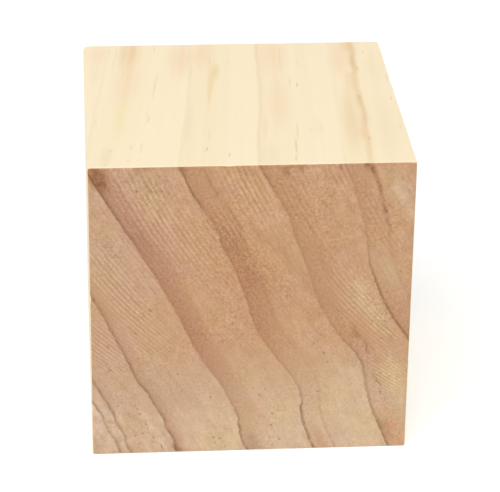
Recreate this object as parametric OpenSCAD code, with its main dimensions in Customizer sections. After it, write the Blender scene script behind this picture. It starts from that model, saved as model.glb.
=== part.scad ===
// Solid wooden cube for craft, bench and desk use: one piece of softwood,
// planed on the four sides and sawn across the grain at the two ends.
// The grain runs along Y. The block stands on Z = 0, centred on X and Y.

/* [Block] */
// Length along the grain, from sawn end to sawn end
length = 50; // [25:1:100]
// Width across the grain
width = 50; // [25:1:100]
// Height across the grain
height = 50; // [25:1:100]

/* [Edges] */
// Radius of the four eased edges that run along the grain
side_arris = 0.4; // [0.1:0.1:3]
// Radius of the eight eased edges around the two sawn ends
end_arris = 0.3; // [0.1:0.1:3]

/* [Hidden] */
// Facets of a full circle, for the edge rounding
$fn = 48;

// A centred rectangle, a by b, whose corners are quarter circles of radius r
module eased_rectangle(a, b, r) {
    square([a - 2 * r, b], center = true);
    square([a, b - 2 * r], center = true);
    for (x = [-1, 1], y = [-1, 1])
        translate([x * (a / 2 - r), y * (b / 2 - r)])
            circle(r);
}

// The whole block: its outlines seen along Y, X and Z, each run through the
// others, so that only the corners and edges common to all three are left
module block() {
    color([0.96, 0.88, 0.73])
    translate([0, 0, height / 2])
    intersection() {
        // Seen along the grain
        rotate([90, 0, 0])
            linear_extrude(length, center = true)
                eased_rectangle(width, height, side_arris);
        // Seen from a side
        rotate([90, 0, 90])
            linear_extrude(width, center = true)
                eased_rectangle(length, height, end_arris);
        // Seen from above
        linear_extrude(height, center = true)
            eased_rectangle(width, length, end_arris);
    }
}

block();
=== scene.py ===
"""Looks of the wooden cube: one solid block of pine, planed on four sides and sawn at both ends.

The grain runs along Y, so the faces at -Y and +Y are end grain. The wood is one solid pattern,
worked out in millimetres from the block's own coordinates, so that a growth ring seen on the end
grain runs on as a streak over the edge and along the planed side.
"""

import math
from types import SimpleNamespace

import bpy
import numpy as np
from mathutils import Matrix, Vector, noise


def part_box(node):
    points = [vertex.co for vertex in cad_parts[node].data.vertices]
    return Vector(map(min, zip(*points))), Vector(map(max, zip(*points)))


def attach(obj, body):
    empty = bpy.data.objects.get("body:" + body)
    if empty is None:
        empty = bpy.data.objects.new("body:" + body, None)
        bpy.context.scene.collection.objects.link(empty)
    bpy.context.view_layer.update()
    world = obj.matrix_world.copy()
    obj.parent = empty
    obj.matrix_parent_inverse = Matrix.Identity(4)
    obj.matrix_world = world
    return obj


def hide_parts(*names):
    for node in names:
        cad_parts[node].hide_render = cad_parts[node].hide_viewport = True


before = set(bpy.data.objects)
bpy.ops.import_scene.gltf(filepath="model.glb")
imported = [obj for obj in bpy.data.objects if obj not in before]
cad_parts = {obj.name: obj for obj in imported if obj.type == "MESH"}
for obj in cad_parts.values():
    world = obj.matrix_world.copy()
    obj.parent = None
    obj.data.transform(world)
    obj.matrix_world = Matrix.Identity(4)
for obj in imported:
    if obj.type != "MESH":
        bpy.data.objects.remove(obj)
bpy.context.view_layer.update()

MM = 0.001
NODE = "block"
LOW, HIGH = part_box(NODE)
CENTRE = (LOW + HIGH) / 2
HALF = [side / 2 / MM for side in HIGH - LOW]      # half the block's sides, in mm
FRONT_Y = LOW.y / MM                               # the sawn end that the camera sees, in mm
MIDDLE_Z, TOP_Z = CENTRE.z / MM, HIGH.z / MM


# ---------------------------------------------------------------- the block's mesh

ARRIS = 0.34            # radius of the eased edges, mm
ARC_ROWS = 3            # rows of faces on each half of an eased edge
NEAR_STEPS = (0.12, 0.18, 0.26, 0.36)   # rows next to an eased edge, mm
FAR_STEP = 0.5          # widest row in the middle of a face, mm

# Wear: depth and size of its waves in mm, and the number that sets their pattern
FACE_WAVES = (0.006, 14.0, 1)
EDGE_WAVES = ((0.006, 3.2, 2), (0.004, 0.9, 3))
CHIPS = (0.18, 2.1, 4)
CHIPS_FROM = 0.52       # the height in the waves at which a chip starts
WEAR_REACH = 0.45       # how far from an arris its wear reaches, mm

MAP_GAP = 0.012         # bare rim round each face's map, as a share of it


def grid_lines(half):
    """Places of the mesh lines across one side, in mm from its middle: close at the edges."""
    arc = [ARRIS * (1 - math.tan(math.pi / 4 * (1 - k / ARC_ROWS))) for k in range(ARC_ROWS + 1)]
    near = ARRIS + np.cumsum(NEAR_STEPS)
    inner = half - near[-1]
    middle = np.linspace(-inner, inner, int(math.ceil(2 * inner / FAR_STEP)) + 1)
    edge = np.concatenate([arc, near[:-1]])
    return np.concatenate([edge - half, middle, half - edge[::-1]])


def smooth_noise(points, size, seed):
    """Perlin noise in about -1 to 1 at each point, with features of the given size in mm."""
    shift = Vector((seed * 17.3, seed * 5.1, seed * 9.7))
    return np.array([noise.noise(Vector(p) / size + shift) for p in points])


def hollows(points, depth, size, seed):
    """How deep smooth hollows are at each point: from 0 to about twice the given depth."""
    return depth * (1 + smooth_noise(points, size, seed))


# Small knocks: place on the surface, radius and depth, in mm
DENTS = (
    ((24.4, -1.0, 50.0), 0.8, 0.09),
    ((24.8, 7.6, 50.0), 1.3, 0.08),
    ((-25.0, -24.8, 27.9), 0.7, 0.12),
    ((-24.9, 24.6, 49.9), 1.2, 0.12),
    ((25.0, 24.8, 12.0), 1.2, 0.14),
    ((8.0, 25.0, 50.0), 1.5, 0.05),
)


def shape_surface(cube):
    """Points of a sharp-edged block, in mm from its middle, moved to its worn, eased surface."""
    half = np.array(HALF)
    core = np.clip(cube, ARRIS - half, half - ARRIS)
    away = cube - core
    normal = away / np.linalg.norm(away, axis=1)[:, None]
    surface = core + ARRIS * normal

    # How much a point belongs to an edge: 1 on the arris, fading over the next half millimetre
    nearest = np.sort(half - np.abs(cube), axis=1)[:, 1]
    edge = np.exp(-(nearest / WEAR_REACH) ** 2)

    wear = sum(hollows(surface, *waves) for waves in EDGE_WAVES)
    chip_depth, chip_size, chip_seed = CHIPS
    chips = chip_depth * np.clip(smooth_noise(surface, chip_size, chip_seed) - CHIPS_FROM, 0, None)
    depth = hollows(surface, *FACE_WAVES) + edge * (wear + chips)
    place = surface + [0, 0, MIDDLE_Z]
    for spot, radius, deep in DENTS:
        distance = np.linalg.norm(place - spot, axis=1)
        depth += deep * np.exp(-(distance / radius) ** 2 * 2)
    # The least worn places still touch the box, so the block keeps its real size
    return surface - normal * (depth - depth.min())[:, None]


def on_island(place, axis, end, a):
    """Moves one face's map, 0 to 1 both ways, to its place in the whole map.

    The two ends, whose saw marks and rings are fine both ways, take a quarter of the map each.
    The four sides, which hardly change along the grain, share the other half as narrow strips.
    """
    if axis == 1:
        size, corner = (0.5, 0.5), (0.5 * (end == -1), 0.5)
    else:
        if a != 1:
            place = place[:, :, ::-1]  # the grain goes across the strip
        strip = (axis == 2) * 2 + (end == -1)
        size, corner = (0.25, 0.5), (0.25 * strip, 0.0)
    return np.array(corner) + np.array(size) * (MAP_GAP + place * (1 - 2 * MAP_GAP))


def face_quads(index, lines, axis, end):
    """One face of the block: its quads, by point number, and their corners' places in the map."""
    a, b = (axis + 1) % 3, (axis + 2) % 3
    layer = np.moveaxis(index, axis, 0)[end]
    if b < a:
        layer = layer.T                # rows run along a, columns along b
    corners = [layer[:-1, :-1], layer[1:, :-1], layer[1:, 1:], layer[:-1, 1:]]
    i, j = np.meshgrid(np.arange(len(lines[a]) - 1), np.arange(len(lines[b]) - 1), indexing="ij")
    steps = [(i, j), (i + 1, j), (i + 1, j + 1), (i, j + 1)]
    if end == 0:                       # seen from outside, the low face turns the other way
        corners, steps = corners[::-1], steps[::-1]
    across = [lines[a][row] / HALF[a] / 2 + 0.5 for row, _ in steps]
    up = [lines[b][column] / HALF[b] / 2 + 0.5 for _, column in steps]
    place = np.stack([np.stack([u.ravel(), v.ravel()], 1) for u, v in zip(across, up)], 1)
    return np.stack([corner.ravel() for corner in corners], axis=1), on_island(place, axis, end, a)


def block_mesh():
    """The closed mesh of the block, with one map island for each face."""
    lines = [grid_lines(half) for half in HALF]
    on_skin = np.zeros([len(places) for places in lines], bool)
    for axis in range(3):
        ends = [slice(None)] * 3
        ends[axis] = [0, -1]
        on_skin[tuple(ends)] = True
    index = -np.ones(on_skin.shape, int)
    index[on_skin] = np.arange(on_skin.sum())
    cube = np.stack([lines[a][i] for a, i in enumerate(np.nonzero(on_skin))], axis=1)
    points = (shape_surface(cube) + [0, 0, MIDDLE_Z]) * MM

    faces = [face_quads(index, lines, axis, end) for axis in range(3) for end in (0, -1)]
    quads, maps = zip(*faces)
    mesh = bpy.data.meshes.new("wood_block")
    mesh.from_pydata(points.tolist(), [], np.concatenate(quads).tolist())
    mesh.uv_layers.new(name="OFBake").data.foreach_set("uv", np.concatenate(maps).ravel())
    mesh.shade_smooth()
    mesh.update()
    return mesh


# ---------------------------------------------------------------- node trees, written as formulas


def srgb(red, green, blue):
    """A colour as it looks, 0 to 255 a channel, as Blender's linear colour."""
    def linear(c):
        c /= 255
        return c / 12.92 if c <= 0.04045 else ((c + 0.055) / 1.055) ** 2.4
    return (linear(red), linear(green), linear(blue), 1.0)


class Formula:
    """Adds nodes to a node tree. A value may be a number, a tuple or another node's output."""

    def __init__(self, tree):
        self.tree = tree

    def add(self, kind, **settings):
        """A new node of that kind, with its settings."""
        node = self.tree.nodes.new(kind)
        for name, value in settings.items():
            setattr(node, name, value)
        return node

    def feed(self, socket, value):
        """Sets a socket, or links another node's output to it."""
        if isinstance(value, bpy.types.NodeSocket):
            self.tree.links.new(value, socket)
        else:
            socket.default_value = value

    def calc(self, operation, *values, clamp=False):
        node = self.add("ShaderNodeMath", operation=operation, use_clamp=clamp)
        for socket, value in zip(node.inputs, values):
            self.feed(socket, value)
        return node.outputs[0]

    def plus(self, *values):
        total = values[0]
        for value in values[1:]:
            total = self.calc("ADD", total, value)
        return total

    def minus(self, a, b):
        return self.calc("SUBTRACT", a, b)

    def times(self, *values):
        product = values[0]
        for value in values[1:]:
            product = self.calc("MULTIPLY", product, value)
        return product

    def weigh(self, *pairs):
        """The sum of value x weight."""
        total = 0.0
        for value, weight in pairs:
            total = self.calc("MULTIPLY_ADD", value, weight, total)
        return total

    def put(self, kind, *values, **settings):
        """The outputs of a new node whose first inputs have these values."""
        node = self.add(kind, **settings)
        for socket, value in zip(node.inputs, values):
            self.feed(socket, value)
        return node.outputs

    def split(self, vector):
        return self.put("ShaderNodeSeparateXYZ", vector)[:3]

    def join(self, x, y, z):
        return self.put("ShaderNodeCombineXYZ", x, y, z)[0]

    def scaled(self, vector, *sizes):
        return self.put("ShaderNodeVectorMath", vector, sizes, operation="MULTIPLY")[0]

    def step(self, value, low, high):
        """0 below low and 1 above high, smooth between. With high below low it falls."""
        node = self.add("ShaderNodeMapRange", interpolation_type="SMOOTHSTEP", clamp=False)
        low, high, start, end = (low, high, 0.0, 1.0) if low < high else (high, low, 1.0, 0.0)
        for socket, given in zip(node.inputs, (value, low, high, start, end)):
            self.feed(socket, given)
        return node.outputs[0]

    def ridge(self, value, middle, width):
        """1 at the middle, falling smoothly to 0 half a width away on both sides."""
        away = self.calc("ABSOLUTE", self.minus(value, middle))
        return self.step(away, width / 2, 0.0)

    def noise(self, vector, scale, detail=2.0, roughness=0.5):
        """Noise centred on 0, mostly within -0.5 to 0.5."""
        node = self.add("ShaderNodeTexNoise", noise_dimensions="3D")
        self.feed(node.inputs["Vector"], vector)
        node.inputs["Scale"].default_value = scale
        node.inputs["Detail"].default_value = detail
        node.inputs["Roughness"].default_value = roughness
        return self.minus(node.outputs[0], 0.5)

    def curve(self, value, points):
        """A smooth curve through given (place, height) points."""
        points = tuple(points)
        xs, ys = zip(*points)
        start, length = xs[0], xs[-1] - xs[0]
        low, span = min(ys), (max(ys) - min(ys)) or 1.0
        along = self.calc("MULTIPLY_ADD", value, 1 / length, -start / length)
        node = self.add("ShaderNodeFloatCurve")
        self.feed(node.inputs["Value"], along)
        node.mapping.extend = "HORIZONTAL"
        line = node.mapping.curves[0]
        for n, (x, y) in enumerate(points):
            place = ((x - start) / length, (y - low) / span)
            if n in (0, len(points) - 1):
                line.points[-1 if n else 0].location = place
            else:
                line.points.new(*place)
        node.mapping.update()
        return self.calc("MULTIPLY_ADD", node.outputs[0], span, low)

    def tone(self, colour, amount):
        """A wood colour made paler or darker, by as much in every channel: as rough fibres do, and on the
        ends' saw marks as dust in their grooves and as painted shade of their relief.
        """
        return self.blend(amount, colour, WOOD_TONE, "ADD")

    def blend(self, amount, under, over, way="MIX"):
        """Colour: under, covered by over as far as amount says."""
        node = self.add("ShaderNodeMix", data_type="RGBA", blend_type=way, clamp_factor=way != "ADD")
        self.feed(node.inputs[0], amount)
        self.feed(node.inputs[6], under)
        self.feed(node.inputs[7], over)
        return node.outputs[2]


# ---------------------------------------------------------------- the wood

# Colours, 0 to 255 a channel. The end grain's own, above, below and at the far left
END_UPPER, END_LOWER, END_LEFT = (206, 163, 125), (219, 190, 156), (206, 169, 138)
# Late wood above and below, the rings' lines, smudges, the brown band under the top edge, resin canals
LATE_UPPER, LATE_LOWER, LINE_BROWN = (160, 94, 58), (168, 110, 76), (127, 80, 38)
SMUDGE_BROWN, UNDER_EDGE_BROWN, CANAL_BROWN = (142, 92, 58), (176, 122, 70), (128, 82, 46)
# The planed sides: early wood, late wood, the rings' lines, and resin canals as dashes
SIDE_CREAM, SIDE_TAN = (254, 237, 202), (240, 207, 158)
SIDE_LINE, SIDE_DASH = (212, 192, 150), (168, 142, 96)
# The streak near the top's right edge: its soft left side and its darker core
STREAK_SOFT, STREAK_CORE = (239, 205, 158), (217, 186, 133)
# In linear light: what 100% paler adds to a wood colour, and the casts that the end grain varies between
WOOD_TONE = (0.56, 0.45, 0.36, 1.0)
YELLOW_CAST, PINK_CAST = (1.0, 0.995, 0.95, 1.0), (1.0, 0.988, 1.025, 1.0)

RING_TURN = math.radians(61)      # the rings' slope on the front end, down to the right

# Each growth ring's outer boundary, where its dark late wood stops, as the front end shows it. In mm:
#   place   distance from the block's middle towards the pith, which is up and to the right
#   path    how the boundary wanders: (place along the ring, going down; shift towards the pith)
#   width   how wide the late wood is, against the average ring
#   late    how dark the late wood is: (place along the ring, strength)
#   line    how dark the thin line at the boundary is, in the same way
#   inner   a second, softer line: how far inside the boundary, how wide and how dark
RINGS = (
    dict(
        place=36.0, width=1.0, path=((-40, 0.0), (40, 0.0)),
        late=0.1, line=0.3, inner=(3.0, 0.6, 0.1),
    ),
    dict(
        place=20.95, width=1.1,
        path=((-40, 4.5), (-15, 3.2), (-10, 2.6), (-6, 1.6), (-2, 0.4), (4, -1.6), (8, -2.1),
              (12, -2.3), (16, -2.0), (40, -3.0)),
        late=((-20, 0.50), (-8, 0.42), (-1, 0.20), (4, 0.12), (9, 0.35), (16, 0.55)),
        line=((-20, 0.45), (-12, 0.20), (-3, 0.35), (3, 0.80), (8, 1.1), (13, 1.1), (16, 0.9)),
        inner=(3.75, 1.3, ((-20, 1.4), (-13, 1.7), (-7, 1.3), (-3, 0.9), (0, 0.5), (6, 0.4), (12, 0.2))),
    ),
    dict(
        place=10.4, width=1.3,
        path=((-40, 3.0), (-21, 2.5), (-12, 2.4), (-8, 1.6), (-4, 1.0), (0, 0.3), (3.5, -0.4),
              (8, -0.6), (12, -0.2), (16, 0.3), (18.5, -0.2), (22, -1.4), (26, -2.2), (29, -2.6),
              (32, -3.0), (40, -3.6)),
        late=((-24, 0.65), (-16, 0.50), (-5, 0.58), (2, 0.52), (11, 0.45), (17, 0.50), (24, 0.45),
              (36, 0.70)),
        line=((-24, 1.1), (-18, 0.95), (-15, 0.50), (-8, 0.35), (0, 0.30), (7, 0.32), (13, 0.60),
              (17, 0.9), (20, 0.65), (25, 0.9), (36, 1.15)),
        inner=(2.6, 0.9, ((-24, 0.1), (-15, 0.4), (-8, 0.15), (10, 0.25), (14, 0.35), (20, 0.05),
                          (36, 0.0))),
    ),
    dict(
        place=0.2, width=1.25,
        path=((-40, 2.6), (-26, 2.0), (-22, 1.7), (-15, 2.0), (-12, 1.4), (-9, 1.3), (-5, 0.8),
              (-1.5, 0.1), (2, -0.7), (5.5, -0.85), (9.5, -0.6), (15, -0.1), (17, -0.5), (20, -2.0),
              (23, -2.8), (27, -3.3), (40, -3.8)),
        late=((-30, 0.70), (-20, 0.62), (-12, 0.66), (-4, 0.78), (4, 0.72), (12, 0.40), (18, 0.25),
              (30, 0.30)),
        line=((-30, 1.05), (-21, 1.0), (-17, 0.45), (-13, 0.75), (-8, 0.40), (2, 0.35), (12, 0.35),
              (18, 0.85), (22, 1.15), (30, 1.15)),
        inner=(3.25, 0.9, ((-30, 0.75), (-17, 0.80), (-11, 0.45), (-6, 0.2), (2, 0.35), (8, 0.15),
                           (13, 0.15), (18, 0.35), (23, 0.65), (30, 0.75))),
    ),
    dict(
        place=-10.4, width=1.0,
        path=((-40, 0.0), (-32, 0.25), (-24, 0.35), (-15, 0.6), (-9.5, 0.5), (-5.5, 0.35),
              (-1.5, 0.0), (2.5, -0.2), (6, -0.1), (9.5, 0.2), (11, 0.05), (14.5, -0.2), (17, -1.0),
              (21, -2.0), (40, -3.0)),
        late=((-36, 1.15), (-28, 0.95), (-20, 0.82), (-13, 0.98), (-5, 1.00), (4, 0.88), (11, 0.72),
              (16, 0.64), (25, 0.74)),
        line=((-36, 1.2), (-22, 1.1), (-17, 0.60), (-8, 0.35), (4, 0.30), (12, 0.40), (16, 0.85),
              (25, 1.15)),
        inner=(2.9, 0.9, ((-36, 0.3), (-22, 0.3), (0, 0.15), (14, 0.0), (40, 0.0))),
    ),
    dict(
        place=-20.9, width=0.55,
        path=((-40, 0.4), (-15, 0.8), (-12, 0.8), (-8, 0.45), (-4.5, 0.25), (-1, -0.05), (2, -0.35),
              (4.5, -0.05), (6.5, -0.2), (9, -0.15), (11, -0.55), (14, -0.7), (16, -1.3), (40, -2.0)),
        late=((-16, 0.50), (-4, 0.40), (4, 0.52), (8, 0.78), (18, 0.85)),
        line=((-16, 0.90), (-10, 0.80), (-6, 0.90), (0, 0.85), (8, 0.80), (12, 0.9), (18, 1.2)),
        inner=(3.5, 0.6, ((-16, 0.0), (-4, 0.15), (4, 0.3), (12, 0.2), (18, 0.0))),
    ),
    dict(
        place=-27.75, width=0.4,
        path=((-40, 0.6), (-2, 0.4), (2, 0.42), (5, 0.3), (7.5, -0.15), (9, -0.1), (10.5, -0.7),
              (12.5, -0.75), (40, -2.0)),
        late=0.2, line=((-5, 0.45), (1, 0.8), (7, 0.9), (13, 0.75)), inner=(2.0, 0.8, 0.0),
    ),
    dict(
        place=-29.45, width=0.3,
        path=((-40, 0.4), (1, 0.25), (3.5, 0.3), (5.5, 0.0), (7.5, -0.15), (9, -0.15), (11.5, -0.6),
              (40, -2.0)),
        late=0.15, line=((-5, 0.6), (3, 0.85), (5, 0.7), (8, 0.8), (13, 0.8)), inner=(2.0, 0.8, 0.0),
    ),
    dict(
        place=-38.5, width=1.0, path=((-40, 0.4), (0, 0.0), (40, -1.5)),
        late=0.6, line=0.6, inner=(2.6, 0.8, 0.1),
    ),
)

# Darkness against the distance inside a ring's boundary, in mm: of the late wood, as an end and as
# a side shows it, and of the boundary's thin line
LATE_WOOD = ((-0.15, 0.0), (0.05, 0.85), (0.5, 1.0), (1.2, 0.86), (2.2, 0.66), (3.0, 0.36),
             (3.8, 0.14), (6.0, 0.0))
LATE_STREAK = ((-0.2, 0.0), (0.10, 0.9), (0.7, 1.0), (3.0, 0.8), (5.0, 0.35), (7.0, 0.0))
EDGE_LINE = ((-0.16, 0.0), (0.03, 1.0), (0.17, 0.85), (0.36, 0.25), (0.7, 0.0))

# How far each feature stands up, in mm, on the ends and on the sides
END_RELIEF = (("marks", 0.010), ("grit", 0.020), ("fibre", 0.020), ("line", -0.010), ("canals", -0.030))
SIDE_RELIEF = (("fibre", 0.006), ("late", 0.006), ("canals", -0.015))
END_SKIN = (0.13, 0.07)      # how deep under an end its look starts, and is full, mm

# How far the grain drifts towards +X for each millimetre back: (x, drift) left and right of the middle
GRAIN_DRIFT = ((-12.0, 0.098), (14.0, 0.046))
GRAIN_WANDER = (0.8, 1.6)    # how far it wanders besides, sideways and up, mm

# Resin canals that come from noise, one at most in each cell
CANAL_CELLS = (0.95, 0.05, 0.95)     # cells for each mm, across and along the grain
CANAL_EMPTY = 0.82                   # the share of cells without one,
CANAL_EMPTY_FRONT = 0.12             # and how much more of them at the front end
CANAL_REACH, CANAL_REACH_MORE = 0.08, 0.10   # smallest radius, and how much larger some are, in cells

SAW_RADIUS = 86.7        # of the blade that cut the ends, mm
SAW_CENTRE_Z = 83.9      # height of its axis, mm
SAW_FEED = 0.87          # from one mark to the next, mm

PATCH_CORE = 0.1         # how much of a soft patch's half size is at full strength

# Soft patches of the front end, stretched along the rings: middle x and z, half length along the
# rings, half width across them, strength. First where the saw's marks show
SAW_PATCHES = (
    (-15.2, 42.2, 12.5, 6.0, 0.85), (-8.0, 35.0, 11.0, 4.5, 0.45), (-20.5, 29.5, 12.0, 4.2, 0.95),
    (-23.0, 19.0, 8.0, 4.5, 0.85), (-0.8, 46.0, 7.5, 4.2, 1.00), (-3.5, 40.0, 6.0, 3.0, 0.60),
    (16.0, 27.0, 9.0, 3.8, 0.90), (22.0, 13.0, 7.0, 4.0, 0.95), (13.5, 48.0, 4.0, 2.5, 0.60),
    (7.5, 43.0, 6.0, 3.5, 0.35), (19.5, 40.0, 9.0, 3.0, 0.35), (3.0, 32.0, 8.0, 6.0, 0.12),
    (20.5, 21.5, 5.0, 3.0, 0.75), (-16.0, 21.0, 8.0, 5.0, 0.50), (-16.5, 33.5, 9.0, 2.6, 0.35),
    (13.5, 17.0, 6.0, 2.5, 0.20),
)
# Where the cut fibres leave the surface rough
ROUGH_PATCHES = (
    (-3.0, 34.0, 16.0, 8.0, 0.70), (10.0, 44.0, 10.0, 8.0, 0.55), (-17.0, 44.0, 10.0, 6.0, 0.50),
    (19.0, 26.0, 9.0, 4.0, 0.70), (-2.0, 46.0, 6.0, 5.0, 0.70), (22.0, 5.0, 7.0, 3.0, 0.80),
    (-22.0, 36.0, 6.0, 3.0, 0.70), (21.5, 12.0, 7.0, 3.5, 0.60), (21.5, 42.0, 8.0, 3.0, 0.50),
)
# Where the end grain has another colour
TINTS = (
    (0.0, 31.0, 20.0, 9.0, 0.55, (203, 155, 112)), (17.0, 10.0, 12.0, 7.0, 0.60, (222, 193, 158)),
    (17.5, 27.0, 8.0, 3.5, 0.60, (215, 182, 144)), (23.0, 3.5, 7.0, 3.2, 0.65, (217, 169, 130)),
    (-13.0, 36.0, 10.0, 3.5, 0.40, (200, 152, 128)), (-15.5, 47.0, 4.0, 3.0, 0.40, (190, 160, 122)),
    (23.6, 44.5, 9.0, 3.0, 0.75, (216, 184, 149)), (21.0, 31.5, 7.0, 2.8, 0.60, (208, 176, 140)),
    (20.8, 18.4, 2.2, 5.5, 0.50, (206, 165, 128)), (24.4, 0.8, 1.8, 1.8, 0.80, (232, 176, 138)),
    (-15.0, 12.0, 6.0, 4.0, 0.35, (199, 169, 138)), (-9.0, 27.5, 7.0, 3.0, 0.40, (212, 168, 120)),
    (-18.5, 38.5, 6.0, 1.6, 0.45, (205, 160, 140)), (0.8, 7.0, 6.0, 1.6, 0.40, (212, 166, 134)),
    (-22.5, 5.5, 9.0, 4.0, 0.70, (228, 201, 175)), (-10.5, 10.5, 5.0, 3.0, 0.40, (198, 160, 128)),
    (22.5, 13.0, 8.0, 3.0, 0.60, (225, 194, 151)), (7.0, 18.5, 9.0, 6.0, 0.40, (216, 180, 144)),
    (20.5, 22.5, 4.0, 2.5, 0.50, (213, 180, 142)), (11.0, 2.0, 4.5, 1.8, 0.45, (204, 163, 126)),
    (-15.0, 4.0, 6.0, 3.0, 0.50, (222, 194, 168)), (13.5, 26.5, 6.0, 2.0, 0.45, (214, 172, 132)),
)
# Brown patches, smudges and short cracks
BROWN_PATCHES = (
    (-23.4, 48.2, 3.6, 1.9, 0.80), (5.1, 49.0, 0.9, 1.1, 0.70), (17.6, 49.4, 1.3, 0.8, 1.00),
    (-10.8, 49.5, 1.8, 1.1, 0.45), (-17.0, 49.7, 1.2, 3.4, 0.30), (-11.3, 1.0, 2.0, 0.9, 0.60),
    (0.7, 1.4, 4.0, 2.2, 0.22), (15.2, 16.2, 3.6, 2.2, 0.08), (16.4, 20.6, 2.0, 0.9, 0.35),
    (18.0, 18.3, 1.6, 0.40, 0.40), (20.1, 12.0, 2.6, 0.34, 0.45), (13.0, 49.3, 1.4, 0.9, 0.35),
    (-13.8, 1.2, 1.2, 0.3, 0.40), (21.6, 3.6, 3.5, 1.3, 0.25), (-16.6, 37.4, 6.5, 1.5, 0.22),
    (-2.6, 36.5, 5.0, 1.6, 0.20), (0.2, 31.0, 4.0, 1.8, 0.22), (12.5, 26.5, 4.5, 1.4, 0.10),
    (19.6, 37.2, 0.35, 2.2, 0.20), (22.5, 42.0, 0.30, 2.0, 0.12), (22.6, 39.3, 0.30, 1.8, 0.12),
    (8.0, 31.0, 5.0, 1.4, 0.16), (5.0, 34.5, 4.0, 1.2, 0.16), (6.4, 49.3, 0.7, 1.0, 0.45),
    (7.6, 49.4, 0.6, 0.9, 0.35),
)
# Resin canals that show on the front end: x, z and radius
CANALS = (
    (-24.4, 27.6, 0.42), (-15.6, 25.6, 0.32), (-17.6, 46.0, 0.26), (-14.4, 42.7, 0.22), (-23.7, 37.9, 0.24),
    (-21.4, 36.1, 0.24), (-20.9, 35.3, 0.20), (-22.3, 19.5, 0.24), (-22.0, 15.3, 0.30), (-22.7, 12.5, 0.24),
    (-12.5, 18.9, 0.20), (-11.4, 14.3, 0.27), (-10.8, 11.3, 0.24), (-6.2, 10.0, 0.20), (-4.3, 20.1, 0.26),
    (-21.0, 8.8, 0.20), (-19.2, 7.3, 0.22), (-18.2, 8.7, 0.22), (-17.8, 8.1, 0.22), (-17.4, 7.3, 0.26),
    (-17.2, 4.7, 0.20), (-17.0, 3.7, 0.22), (-16.5, 5.4, 0.22), (-16.2, 4.5, 0.20), (-16.1, 3.9, 0.22),
    (-15.3, 2.9, 0.24), (-15.5, 2.1, 0.20), (-18.2, 3.3, 0.20), (-17.6, 1.8, 0.20), (-5.7, 2.6, 0.30),
    (-4.8, 2.4, 0.24), (-3.9, 0.8, 0.24), (-5.5, 1.6, 0.20), (0.5, 11.4, 0.26), (1.5, 10.1, 0.22),
    (2.4, 11.1, 0.24), (1.3, 9.3, 0.20), (3.9, 7.7, 0.22), (4.3, 7.3, 0.24), (3.5, 6.7, 0.20),
    (3.4, 4.6, 0.22), (2.8, 3.3, 0.24), (3.2, 2.5, 0.20), (4.7, 2.0, 0.26), (3.6, 0.9, 0.22),
    (10.7, 10.5, 0.28), (12.2, 15.8, 0.27), (11.5, 17.5, 0.20), (9.9, 19.1, 0.24), (7.7, 22.6, 0.22),
    (20.6, 19.8, 0.27), (20.7, 10.1, 0.24), (18.2, 18.1, 0.22), (16.3, 21.9, 0.22), (0.4, 33.0, 0.22),
    (4.7, 30.9, 0.22), (5.5, 27.6, 0.22), (11.2, 35.3, 0.20), (5.4, 44.0, 0.22), (2.9, 39.2, 0.20),
    (19.0, 46.7, 0.24), (19.6, 45.2, 0.22), (20.2, 43.6, 0.24), (20.6, 41.8, 0.22), (21.2, 39.5, 0.26),
)

# On the top, by the grain's own x and the distance back from the front edge. Soft streaks: x, middle,
# half width, half length, strength, colour
PINKISH, PEACH, ORANGE, TAN = (248, 221, 190), (247, 218, 179), (240, 203, 157), (236, 211, 166)
YELLOW, GOLD, OLIVE, GREYISH = (248, 230, 178), (238, 212, 155), (229, 214, 172), (226, 214, 186)
TOP_STREAKS = (
    (-21.6, 46.0, 2.30, 11.5, 0.62, ORANGE), (-21.4, 33.0, 3.0, 16.0, 0.55, PEACH),
    (-22.8, 46.5, 1.20, 9.0, 0.50, TAN), (-20.2, 47.0, 0.8, 9.0, 0.35, YELLOW),
    (-24.1, 44.0, 0.35, 10.0, 0.35, GREYISH), (-27.0, 46.0, 2.4, 8.0, 0.55, PINKISH),
    (-26.7, 37.0, 1.5, 7.0, 0.20, GREYISH), (-21.4, 18.0, 2.1, 13.0, 0.50, YELLOW),
    (-22.5, 4.0, 1.3, 6.0, 0.40, TAN), (-17.3, 19.0, 0.35, 7.0, 0.25, GREYISH),
    (-12.9, 43.0, 3.3, 12.0, 0.60, PEACH), (-10.85, 40.0, 0.40, 16.0, 0.35, OLIVE),
    (-8.9, 45.0, 2.7, 9.0, 0.55, PEACH), (-6.6, 37.5, 1.4, 5.5, 0.55, GOLD),
    (-7.3, 32.5, 0.85, 7.5, 0.50, GOLD), (-7.5, 27.0, 0.45, 5.0, 0.50, GOLD),
    (-7.45, 42.0, 0.30, 4.5, 0.40, GREYISH), (-6.95, 11.0, 0.35, 4.5, 0.30, GREYISH),
    (-10.6, 17.0, 1.0, 13.0, 0.30, OLIVE), (3.8, 44.0, 3.4, 13.0, 0.60, PEACH),
    (4.2, 24.0, 3.2, 15.0, 0.50, PEACH), (5.1, 42.0, 0.35, 8.0, 0.30, TAN),
    (2.0, 14.0, 0.70, 7.0, 0.35, ORANGE), (6.4, 32.5, 0.30, 3.5, 0.40, OLIVE),
    (2.5, 4.0, 2.2, 6.0, 0.30, TAN), (15.6, 43.0, 2.0, 14.0, 0.60, PEACH),
    (15.9, 17.0, 2.1, 18.0, 0.60, TAN), (18.6, 46.5, 0.6, 3.0, 0.40, YELLOW),
    (16.9, 48.0, 1.4, 5.0, 0.50, ORANGE), (10.5, 14.0, 1.6, 7.0, 0.15, GREYISH),
    (21.6, 14.0, 4.5, 20.0, 0.20, TAN), (21.5, 38.0, 3.0, 12.0, 0.16, TAN),
)
DASH_HALF_WIDTH = 0.28
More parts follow.
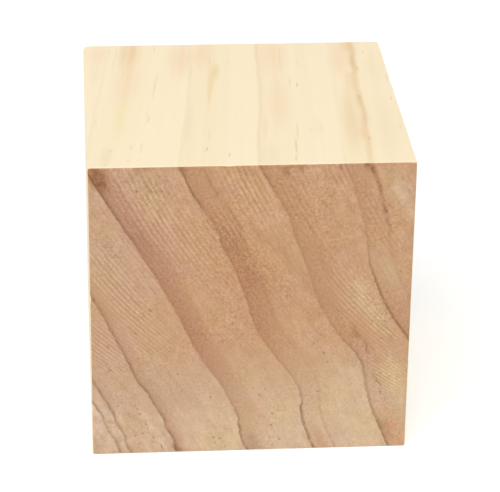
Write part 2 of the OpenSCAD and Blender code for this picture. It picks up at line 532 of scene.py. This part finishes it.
# Fine dark dashes: x, middle, half length, strength
TOP_DASHES = (
    (-16.8, 31.5, 7.5, 0.75), (-16.6, 35.0, 2.6, 0.60), (-17.7, 48.0, 2.5, 0.40), (-25.1, 17.5, 0.8, 0.50),
    (-21.8, 6.0, 0.8, 0.50), (-18.9, 7.3, 1.7, 0.50), (-19.0, 2.3, 1.0, 0.50), (-17.45, 2.6, 0.9, 0.40),
    (-17.3, 7.3, 3.4, 0.45), (-22.4, 1.0, 0.6, 0.50), (-7.15, 6.2, 1.4, 1.00), (-7.45, 5.5, 0.7, 0.40),
    (-3.6, 3.9, 1.3, 0.90), (7.1, 13.0, 4.6, 0.70), (6.75, 6.5, 5.0, 0.75), (6.6, 2.3, 1.6, 0.70),
    (6.4, 32.5, 2.8, 0.55), (7.6, 31.2, 1.6, 1.00), (9.7, 38.0, 2.0, 0.35), (9.2, 12.5, 1.6, 0.35),
    (10.9, 13.5, 2.0, 0.25), (14.1, 1.5, 1.1, 0.60), (19.7, 45.0, 1.5, 0.60), (18.4, 38.0, 1.0, 0.80),
    (17.9, 26.0, 0.9, 0.60), (18.2, 9.0, 1.3, 0.50), (22.85, 33.5, 2.6, 0.45), (22.9, 25.0, 1.2, 0.70),
    (23.4, 13.5, 1.6, 0.45),
)
# The wobbling tan streak near the right: distance back, the grain's x, strength of its soft left
# side and of its darker core
RIGHT_STREAK = (
    (0, 17.95, 0.60, 0.10), (3, 17.95, 0.30, 0.45), (6, 18.00, 0.35, 0.60), (9, 18.05, 0.60, 0.55),
    (11, 17.85, 0.90, 0.20), (14, 17.95, 0.60, 0.55), (17, 18.05, 0.55, 0.80), (20, 18.10, 0.40, 0.75),
    (22, 17.95, 0.50, 0.85), (25, 17.80, 0.60, 1.00), (27, 17.75, 0.60, 0.40), (30, 17.40, 0.65, 0.25),
    (33, 17.35, 0.80, 0.20), (36, 17.70, 0.65, 0.50), (38, 18.00, 0.50, 0.85), (40, 17.95, 0.70, 1.00),
    (43, 17.85, 0.70, 0.80), (45, 17.88, 0.70, 0.45), (47, 17.80, 0.95, 0.25), (50, 17.85, 1.00, 0.30),
)


def fibrous(f, grain, along, scale, detail=2.0, roughness=0.5):
    """Noise drawn out along the grain: along is how fast it changes that way, against 1 across it."""
    return f.noise(f.scaled(grain, 1.0, along, 1.0), scale, detail, roughness)


def grain_space(f, point):
    """Coordinates that follow the grain, which drifts towards +X going back and wanders a little."""
    x, y, z = f.split(point)
    back = f.minus(y, FRONT_Y)
    (left, left_drift), (right, right_drift) = GRAIN_DRIFT
    drift = f.put("ShaderNodeMapRange", x, left, right, left_drift, right_drift)[0]
    wander = f.noise(f.scaled(point, 0.03, 0.085, 0.03), 1.0, detail=1.0)
    # None at the front end, where the rings are placed, and all of it from half way back
    wander = f.times(wander, f.step(back, 0.0, HALF[1]))
    x0 = f.minus(x, f.times(drift, back))
    sideways, upwards = GRAIN_WANDER
    return f.join(f.plus(x0, f.times(wander, sideways)), y, f.plus(z, f.times(wander, upwards)))


def ring_space(f, grain):
    """How far a place is along the rings, going down, and across them, towards the pith."""
    x, _, z = f.split(grain)
    up = f.minus(z, MIDDLE_Z)
    cosine, sine = math.cos(RING_TURN), math.sin(RING_TURN)
    return f.weigh((x, cosine), (up, -sine)), f.weigh((x, sine), (up, cosine))


def level(f, along, points):
    """A strength that is the same all along a ring, or goes through (place, strength) points."""
    return points if isinstance(points, float) else f.curve(along, points)


def growth_rings(f, grain, along, inward):
    """Late wood on the ends and on the sides, boundary lines and inner lines of all the rings."""
    # The boundaries waver by a tenth of a millimetre, as cells break out under the saw
    waver = f.times(fibrous(f, grain, 0.06, 1.1, detail=4.0, roughness=0.75), 0.6)
    along, inward = f.plus(along, waver), f.plus(inward, waver)
    late, streak, line, inner = 0.0, 0.0, 0.0, 0.0
    for ring in RINGS:
        inside = f.minus(inward, f.plus(f.curve(along, ring["path"]), ring["place"]))
        dark = level(f, along, ring["late"])
        spread = f.times(inside, 1 / ring["width"])
        late = f.calc("MULTIPLY_ADD", f.curve(spread, LATE_WOOD), dark, late)
        streak = f.calc("MULTIPLY_ADD", f.curve(spread, LATE_STREAK), dark, streak)
        line = f.calc("MULTIPLY_ADD", f.curve(inside, EDGE_LINE), level(f, along, ring["line"]), line)
        offset, width, strength = ring["inner"]
        second = f.ridge(inside, offset, width)
        inner = f.calc("MULTIPLY_ADD", second, level(f, along, strength), inner)
    return late, streak, line, inner


def resin_canals(f, grain, at_front_end):
    """1 inside thin spindles along the grain: dots on the ends and dashes on the sides."""
    spindles = f.scaled(grain, *CANAL_CELLS)
    cells = f.add("ShaderNodeTexVoronoi", voronoi_dimensions="3D", feature="F1")
    f.feed(cells.inputs["Vector"], spindles)
    cells.inputs["Scale"].default_value = 1.0
    chance, size, _ = f.put("ShaderNodeSeparateColor", cells.outputs["Color"])
    # Few on the front end besides those that are placed there
    shown = f.calc("GREATER_THAN", f.minus(chance, f.times(at_front_end, CANAL_EMPTY_FRONT)), CANAL_EMPTY)
    reach = f.calc("MULTIPLY_ADD", size, CANAL_REACH_MORE, CANAL_REACH)
    inside = f.minus(1.0, f.calc("DIVIDE", cells.outputs["Distance"], reach))
    total = f.times(f.calc("SQRT", f.calc("MAXIMUM", inside, 0.0)), shown)

    x, _, z = f.split(grain)
    jitter = fibrous(f, grain, 0.2, 2.2, detail=3.0, roughness=0.7)
    across = f.join(f.plus(x, f.times(jitter, 0.9)), 0.0, f.minus(z, f.times(jitter, 0.7)))
    placed = 0.0
    for px, pz, radius in CANALS:
        away = f.put("ShaderNodeVectorMath", across, (px, 0.0, pz), operation="DISTANCE")[1]
        placed = f.calc("MAXIMUM", f.step(away, radius * 1.1, radius * 0.1), placed)
    return f.calc("MAXIMUM", f.times(placed, at_front_end), total)


def patch(f, place, middle, half_sizes):
    """1 at the middle of a soft ellipse, falling to 0 at its rim."""
    off = f.put("ShaderNodeVectorMath", place, middle, operation="SUBTRACT")[0]
    off = f.scaled(off, *[1 / half for half in half_sizes])
    away = f.put("ShaderNodeVectorMath", off, operation="LENGTH")[1]
    return f.step(away, 1.0, PATCH_CORE)


def ring_patch(f, place, x, z, half_length, half_width):
    """A soft patch of the front end, stretched along the rings."""
    cosine, sine = math.cos(RING_TURN), math.sin(RING_TURN)
    up = z - MIDDLE_Z
    middle = (x * cosine - up * sine, x * sine + up * cosine, 0.0)
    return patch(f, place, middle, (half_length, half_width, 1.0))


def ring_patches(f, place, patches):
    """The sum of such patches, each times its strength, and at most 1."""
    total = 0.0
    for *where, strength in patches:
        total = f.calc("MULTIPLY_ADD", ring_patch(f, place, *where), strength, total)
    return f.calc("MINIMUM", total, 1.0)


def saw_marks(f, point, shows):
    """The arcs that the blade left on both ends, about -1 to 1 where they show fully."""
    x, y, z = f.split(point)
    # The back end was cut from the other side
    x_cut = f.times(x, f.calc("SIGN", f.times(y, -1.0)))
    rise = f.minus(z, SAW_CENTRE_Z)
    reach = f.calc("SQRT", f.minus(SAW_RADIUS ** 2, f.times(rise, rise)))
    shake = f.weigh((f.noise(point, 0.12), 0.5), (f.noise(point, 0.9, detail=2.0), 0.38))
    turns = f.plus(f.calc("DIVIDE", f.plus(x_cut, reach), SAW_FEED), shake)
    wave = f.calc("SINE", f.times(turns, 2 * math.pi))
    # No two passes of the teeth cut alike, nor does one along its whole arc
    uneven = f.noise(f.join(turns, f.times(z, 0.5), 0.0), 0.9, detail=3.0, roughness=0.65)
    strength = f.calc("MULTIPLY_ADD", uneven, 3.0, 1.0)
    return f.times(wave, f.calc("MAXIMUM", strength, 0.0), f.plus(shows, 0.10))


def end_grain(f, wood):
    """The ends' colour: tan, paler low down, and brown in the late wood."""
    x, _, z = f.split(wood.point)
    pale = f.step(z, 22.0, 2.0)
    left = f.step(x, -4.0, -22.0)
    # Torn fibres and blotches stand out most near the top and the bottom
    lively = f.plus(1.0, f.times(f.step(z, 33.0, 45.0), 0.7), f.times(f.step(z, 12.0, 3.0), 0.7))
    mottle = f.times(wood.mottle, lively)
    rows = f.times(wood.rows, lively)
    uneven = f.times(f.noise(wood.point, 0.16, detail=1.0), 2.2)
    grit = f.times(wood.grit, f.calc("MAXIMUM", f.plus(0.85, wood.rough, uneven), 0.25))

    colour = f.blend(pale, srgb(*END_UPPER), srgb(*END_LOWER))
    colour = f.blend(f.times(left, 0.6), colour, srgb(*END_LEFT))
    for *where, amount, tint in TINTS:
        cover = f.times(ring_patch(f, wood.bent, *where), wood.at_front, amount)
        colour = f.blend(f.times(cover, f.plus(1.0, f.times(mottle, 2.0))), colour, srgb(*tint))
    pink = f.step(wood.hue, -0.12, 0.12)
    cast = f.blend(pink, YELLOW_CAST, PINK_CAST)
    colour = f.blend(1.0, colour, cast, "MULTIPLY")

    patchy = f.plus(1.0, f.times(mottle, 1.6), f.times(rows, 1.1))
    brown = f.blend(pale, srgb(*LATE_UPPER), srgb(*LATE_LOWER))
    colour = f.blend(f.times(wood.late, patchy, 0.45), colour, brown)
    beads = f.noise(f.join(f.times(wood.along, 1.1), f.times(wood.inward, 0.5), 0.0), 1.0, detail=3.0)
    broken = f.plus(1.0, f.times(grit, 2.4), f.times(mottle, 1.2), f.times(beads, 1.8))
    line = f.times(wood.line, f.calc("MAXIMUM", broken, 0.25), 0.50)
    dotted = f.plus(broken, f.times(grit, 2.0), f.times(beads, 2.0))
    inner = f.times(wood.inner, f.calc("MAXIMUM", dotted, 0.1), 0.28)
    colour = f.blend(f.plus(line, inner), colour, srgb(*LINE_BROWN))

    smudge = f.times(ring_patches(f, wood.bent, BROWN_PATCHES), wood.at_front)
    smudge = f.times(smudge, f.plus(1.0, f.times(mottle, 2.2), f.times(grit, 1.6)))
    colour = f.blend(smudge, colour, srgb(*SMUDGE_BROWN))
    under_edge = f.times(f.step(z, TOP_Z - 1.1, TOP_Z - 0.3), f.step(f.noise(wood.point, 0.35), -0.2, 0.2))
    colour = f.blend(f.times(under_edge, 0.30), colour, srgb(*UNDER_EDGE_BROWN))
    colour = f.blend(f.times(wood.canals, 0.50), colour, srgb(*CANAL_BROWN))

    specks = f.times(f.step(wood.grit, -0.12, -0.28), f.plus(wood.rough, 0.3))
    # The saw marks: paler on their ridges and darker in their grooves, partly dust in the grooves and partly
    # painted shade of their relief
    marks = f.times(wood.marks, f.plus(1.0, f.times(wood.grit, 2.6)))
    lift = f.weigh((grit, 0.70), (specks, -0.17), (mottle, 0.27), (rows, 0.20), (marks, 0.120))
    return f.tone(colour, lift)


def side_grain(f, wood):
    """The sides' colour: cream, with soft tan streaks where the rings come up."""
    x, y, z = f.split(wood.grain)
    back = f.minus(y, FRONT_Y)
    on_top = f.step(z, TOP_Z - 1.0, TOP_Z - 0.2)
    uneven = f.plus(1.0, f.times(wood.shade, 1.8), f.times(wood.fibre, 0.9))
    # The ring at the top's left edge hardly shows there, whatever its strength on the front end
    fading = f.minus(1.0, f.times(on_top, f.step(x, -17.0, -21.0), 0.65))
    rings = f.times(f.weigh((wood.streak, 0.25), (wood.inner, 0.08)), fading, uneven)
    # Every other side gets its streaks from the noise alone, so it shows more of it
    shade = f.times(wood.shade, f.calc("MULTIPLY_ADD", on_top, -0.6, 0.92))
    dark = f.plus(rings, shade, f.times(wood.fibre, 0.18))
    colour = f.blend(f.calc("MAXIMUM", dark, 0.0), srgb(*SIDE_CREAM), srgb(*SIDE_TAN))
    colour = f.blend(f.times(wood.line, fading, uneven, 0.16), colour, srgb(*SIDE_LINE))

    place = f.join(x, back, 0.0)
    on_top_uneven = f.times(on_top, uneven)
    for px, middle, half_width, half_length, strength, tint in TOP_STREAKS:
        cover = patch(f, place, (px, middle, 0.0), (half_width, half_length, 1.0))
        colour = f.blend(f.times(cover, on_top_uneven, strength), colour, srgb(*tint))

    # Crisp towards the right edge of the block, soft on the other side
    places, middles, softs, cores = zip(*RIGHT_STREAK)
    across = f.minus(x, f.curve(back, zip(places, middles)))
    band = f.times(f.step(across, -2.2, 0.0), f.step(across, 1.1, 0.1))
    soft = f.times(band, f.curve(back, zip(places, softs)))
    core = f.times(f.ridge(across, 0.0, 1.5), f.curve(back, zip(places, cores)))
    colour = f.blend(f.times(soft, on_top_uneven, 0.75), colour, srgb(*STREAK_SOFT))
    colour = f.blend(f.times(core, on_top_uneven, 0.48), colour, srgb(*STREAK_CORE))

    dashes = 0.0
    for px, middle, half_length, strength in TOP_DASHES:
        mask = patch(f, place, (px, middle, 0.0), (DASH_HALF_WIDTH, half_length, 1.0))
        dashes = f.calc("MAXIMUM", f.times(mask, strength), dashes)
    dashes = f.calc("MAXIMUM", f.times(dashes, on_top), f.times(wood.canals, 0.7))
    dashes = f.times(dashes, f.plus(0.30, f.times(wood.fibre, 1.2)))
    colour = f.blend(dashes, colour, srgb(*SIDE_DASH))
    return f.tone(colour, f.times(wood.fibre, 0.13))


def wood_at(f):
    """What the colours and the relief need to know about a place in the wood."""
    wood = SimpleNamespace()
    metres = f.add("ShaderNodeTexCoord").outputs["Object"]
    wood.point = f.scaled(metres, 1 / MM, 1 / MM, 1 / MM)
    y = f.split(wood.point)[1]
    wood.grain = grain_space(f, wood.point)
    wood.along, wood.inward = ring_space(f, wood.grain)
    wood.late, wood.streak, wood.line, wood.inner = growth_rings(f, wood.grain, wood.along, wood.inward)

    # Whether it is on a sawn end, 0 or 1, and on which one
    starts, full = END_SKIN
    wood.at_end = f.step(f.calc("ABSOLUTE", y), HALF[1] - starts, HALF[1] - full)
    wood.at_front = f.step(y, 1.0, -1.0)
    at_back = f.minus(1.0, wood.at_front)

    wood.grit = fibrous(f, wood.grain, 0.05, 2.3, detail=3.0, roughness=0.75)
    wood.mottle = fibrous(f, wood.grain, 0.12, 0.6, detail=3.0, roughness=0.6)
    wood.hue = fibrous(f, wood.grain, 0.10, 0.21)
    stretched = f.join(f.times(wood.along, 0.24), f.times(wood.inward, 1.7), f.times(y, 0.02))
    wood.rows = f.noise(stretched, 1.0)
    wood.fibre = fibrous(f, wood.grain, 0.03, 2.2, detail=3.0, roughness=0.6)
    wood.shade = fibrous(f, wood.grain, 0.012, 0.5, detail=3.0, roughness=0.55)

    # Along and across the rings, bent so that no patch has a plain outline
    bend = fibrous(f, wood.grain, 0.1, 0.5, detail=3.0, roughness=0.65)
    sway = fibrous(f, wood.grain, 0.1, 0.37)
    wood.bent = f.join(f.plus(wood.along, f.times(bend, 4.0)), f.plus(wood.inward, f.times(sway, 2.2)), 0.0)

    rough = f.times(ring_patches(f, wood.bent, ROUGH_PATCHES), wood.at_front)
    wood.rough = f.plus(rough, f.times(at_back, 0.4))
    wood.canals = resin_canals(f, wood.grain, f.times(wood.at_front, wood.at_end))
    shows = f.times(ring_patches(f, wood.bent, SAW_PATCHES), wood.at_front)
    shows = f.plus(shows, f.times(f.step(f.noise(wood.point, 0.07), -0.12, 0.16), at_back))
    wood.marks = saw_marks(f, wood.point, shows)
    return wood


def wood_material():
    """Unfinished pine."""
    material = bpy.data.materials.new("pine")
    material.use_nodes = True
    tree = material.node_tree
    tree.nodes.clear()
    f = Formula(tree)
    wood = wood_at(f)
    at_side = f.minus(1.0, wood.at_end)

    end_height, side_height = [
        f.weigh(*[(getattr(wood, feature), height) for feature, height in relief])
        for relief in (END_RELIEF, SIDE_RELIEF)
    ]
    bump = f.add("ShaderNodeBump")
    bump.inputs["Distance"].default_value = MM
    f.feed(bump.inputs["Height"], f.plus(f.times(end_height, wood.at_end), f.times(side_height, at_side)))

    shader = f.add("ShaderNodeBsdfPrincipled")
    shader.inputs["Specular IOR Level"].default_value = 0.35
    f.feed(shader.inputs["Base Color"], f.blend(wood.at_end, side_grain(f, wood), end_grain(f, wood)))
    roughness = f.plus(0.58, f.times(wood.at_end, 0.2), f.times(wood.fibre, 0.12), f.times(wood.late, -0.06))
    f.feed(shader.inputs["Roughness"], roughness)
    f.feed(shader.inputs["Normal"], bump.outputs[0])
    output = f.add("ShaderNodeOutputMaterial")
    tree.links.new(shader.outputs[0], output.inputs[0])
    return material


block = bpy.data.objects.new("wood_block", block_mesh())
bpy.context.scene.collection.objects.link(block)
block.data.materials.append(wood_material())
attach(block, "root")
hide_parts(NODE)


# ---------------------------------------------------------------- floor, light and camera

# Metres, degrees and watts, but for the camera's aim
FLOOR_RADIUS = 2.5
FLOOR_FADE = (0.12, 0.45)    # from the block's middle: where the floor starts and ends its fade to white
FLOOR_GLOW = 0.32            # what is added to the floor where it is seen: near the block,
FLOOR_GLOW_GAIN = 0.6        # and how much more far away
WORLD_LIGHT = 0.395          # what the surroundings give the object
LAMP_DISTANCE = 1.1
# Name, azimuth and elevation seen from the block, width, height, watts
LAMPS = (
    ("key", -30, 58, 1.1, 1.1, 9.95),
    ("fill", 135, 6, 0.9, 0.22, 3.4),
)
CAMERA_SENSOR, CAMERA_LENS = 36.0, 174.0     # both in mm
CAMERA_PLACE = (-4.52, 26.2)                 # azimuth and elevation
CAMERA_DISTANCE = 0.397
CAMERA_AIM = (1.6, -0.7, -0.6)               # mm from the block's middle
CAMERA_ROLL = 0.74
CAMERA_RANGE = (0.05, 20.0)                  # nearest and farthest that it sees


def shown_directly(f):
    """1 for rays from the camera and for what gloss or glass shows, 0 for light on surfaces."""
    rays = f.add("ShaderNodeLightPath")
    total = f.plus(rays.outputs["Is Camera Ray"], rays.outputs["Is Glossy Ray"])
    return f.calc("ADD", total, rays.outputs["Is Transmission Ray"], clamp=True)


def make_floor():
    """A plain pale floor that keeps the shadow and, seen directly, fades to white far away."""
    bpy.ops.mesh.primitive_circle_add(
        vertices=96, radius=FLOOR_RADIUS, fill_type="NGON", location=(0, 0, LOW.z)
    )
    floor = bpy.context.object
    floor.name = "floor"
    material = bpy.data.materials.new("floor_white")
    material.use_nodes = True
    tree = material.node_tree
    tree.nodes.clear()
    f = Formula(tree)
    shader = f.add("ShaderNodeBsdfPrincipled")
    shader.inputs["Base Color"].default_value = (0.9, 0.9, 0.9, 1.0)
    shader.inputs["Roughness"].default_value = 0.9
    shader.inputs["Specular IOR Level"].default_value = 0.1
    shader.inputs["Emission Color"].default_value = (1.0, 1.0, 1.0, 1.0)
    away = f.add("ShaderNodeVectorMath", operation="LENGTH")
    f.feed(away.inputs[0], f.add("ShaderNodeTexCoord").outputs["Object"])
    far = f.step(away.outputs["Value"], *FLOOR_FADE)
    lift = f.plus(FLOOR_GLOW, f.times(far, FLOOR_GLOW_GAIN))
    f.feed(shader.inputs["Emission Strength"], f.times(shown_directly(f), lift))
    output = f.add("ShaderNodeOutputMaterial")
    tree.links.new(shader.outputs[0], output.inputs[0])
    floor.data.materials.append(material)


def make_world():
    """White surroundings: plain white where they are seen, softer as light on the object."""
    world = bpy.data.worlds.new("surroundings")
    bpy.context.scene.world = world
    world.use_nodes = True
    world.node_tree.nodes.clear()
    f = Formula(world.node_tree)
    strength = f.calc("MULTIPLY_ADD", shown_directly(f), 1.0 - WORLD_LIGHT, WORLD_LIGHT)
    background = f.add("ShaderNodeBackground")
    background.inputs["Color"].default_value = (1.0, 1.0, 1.0, 1.0)
    f.feed(background.inputs["Strength"], strength)
    output = f.add("ShaderNodeOutputWorld")
    world.node_tree.links.new(background.outputs[0], output.inputs[0])


def direction(azimuth, elevation):
    """Unit vector from the block: azimuth 0 is straight out of the front end, 90 is +X."""
    a, e = math.radians(azimuth), math.radians(elevation)
    return Vector((math.sin(a) * math.cos(e), -math.cos(a) * math.cos(e), math.sin(e)))


def make_lamps():
    """A large softbox above, to the front and left, and a low weak one behind on the right."""
    for name, azimuth, elevation, width, height, watts in LAMPS:
        light = bpy.data.lights.new(name, "AREA")
        light.shape = "RECTANGLE"
        light.size, light.size_y = width, height
        light.energy = watts
        lamp = bpy.data.objects.new(name, light)
        out = direction(azimuth, elevation)
        lamp.location = CENTRE + out * LAMP_DISTANCE
        lamp.rotation_euler = (-out).to_track_quat("-Z", "Y").to_euler()
        bpy.context.scene.collection.objects.link(lamp)


def make_camera():
    """Above the front end and a little to its left, with a long lens and a slight roll."""
    data = bpy.data.cameras.new("camera")
    data.sensor_width = CAMERA_SENSOR
    data.lens = CAMERA_LENS
    data.clip_start, data.clip_end = CAMERA_RANGE
    camera = bpy.data.objects.new("camera", data)
    axis = direction(*CAMERA_PLACE)
    camera.location = CENTRE + Vector(CAMERA_AIM) * MM + axis * CAMERA_DISTANCE
    camera.rotation_euler = axis.to_track_quat("Z", "Y").to_euler()
    camera.rotation_euler.rotate_axis("Z", math.radians(CAMERA_ROLL))
    bpy.context.scene.collection.objects.link(camera)
    bpy.context.scene.camera = camera


make_floor()
make_world()
make_lamps()
make_camera()
bpy.context.scene.view_settings.view_transform = "Standard"
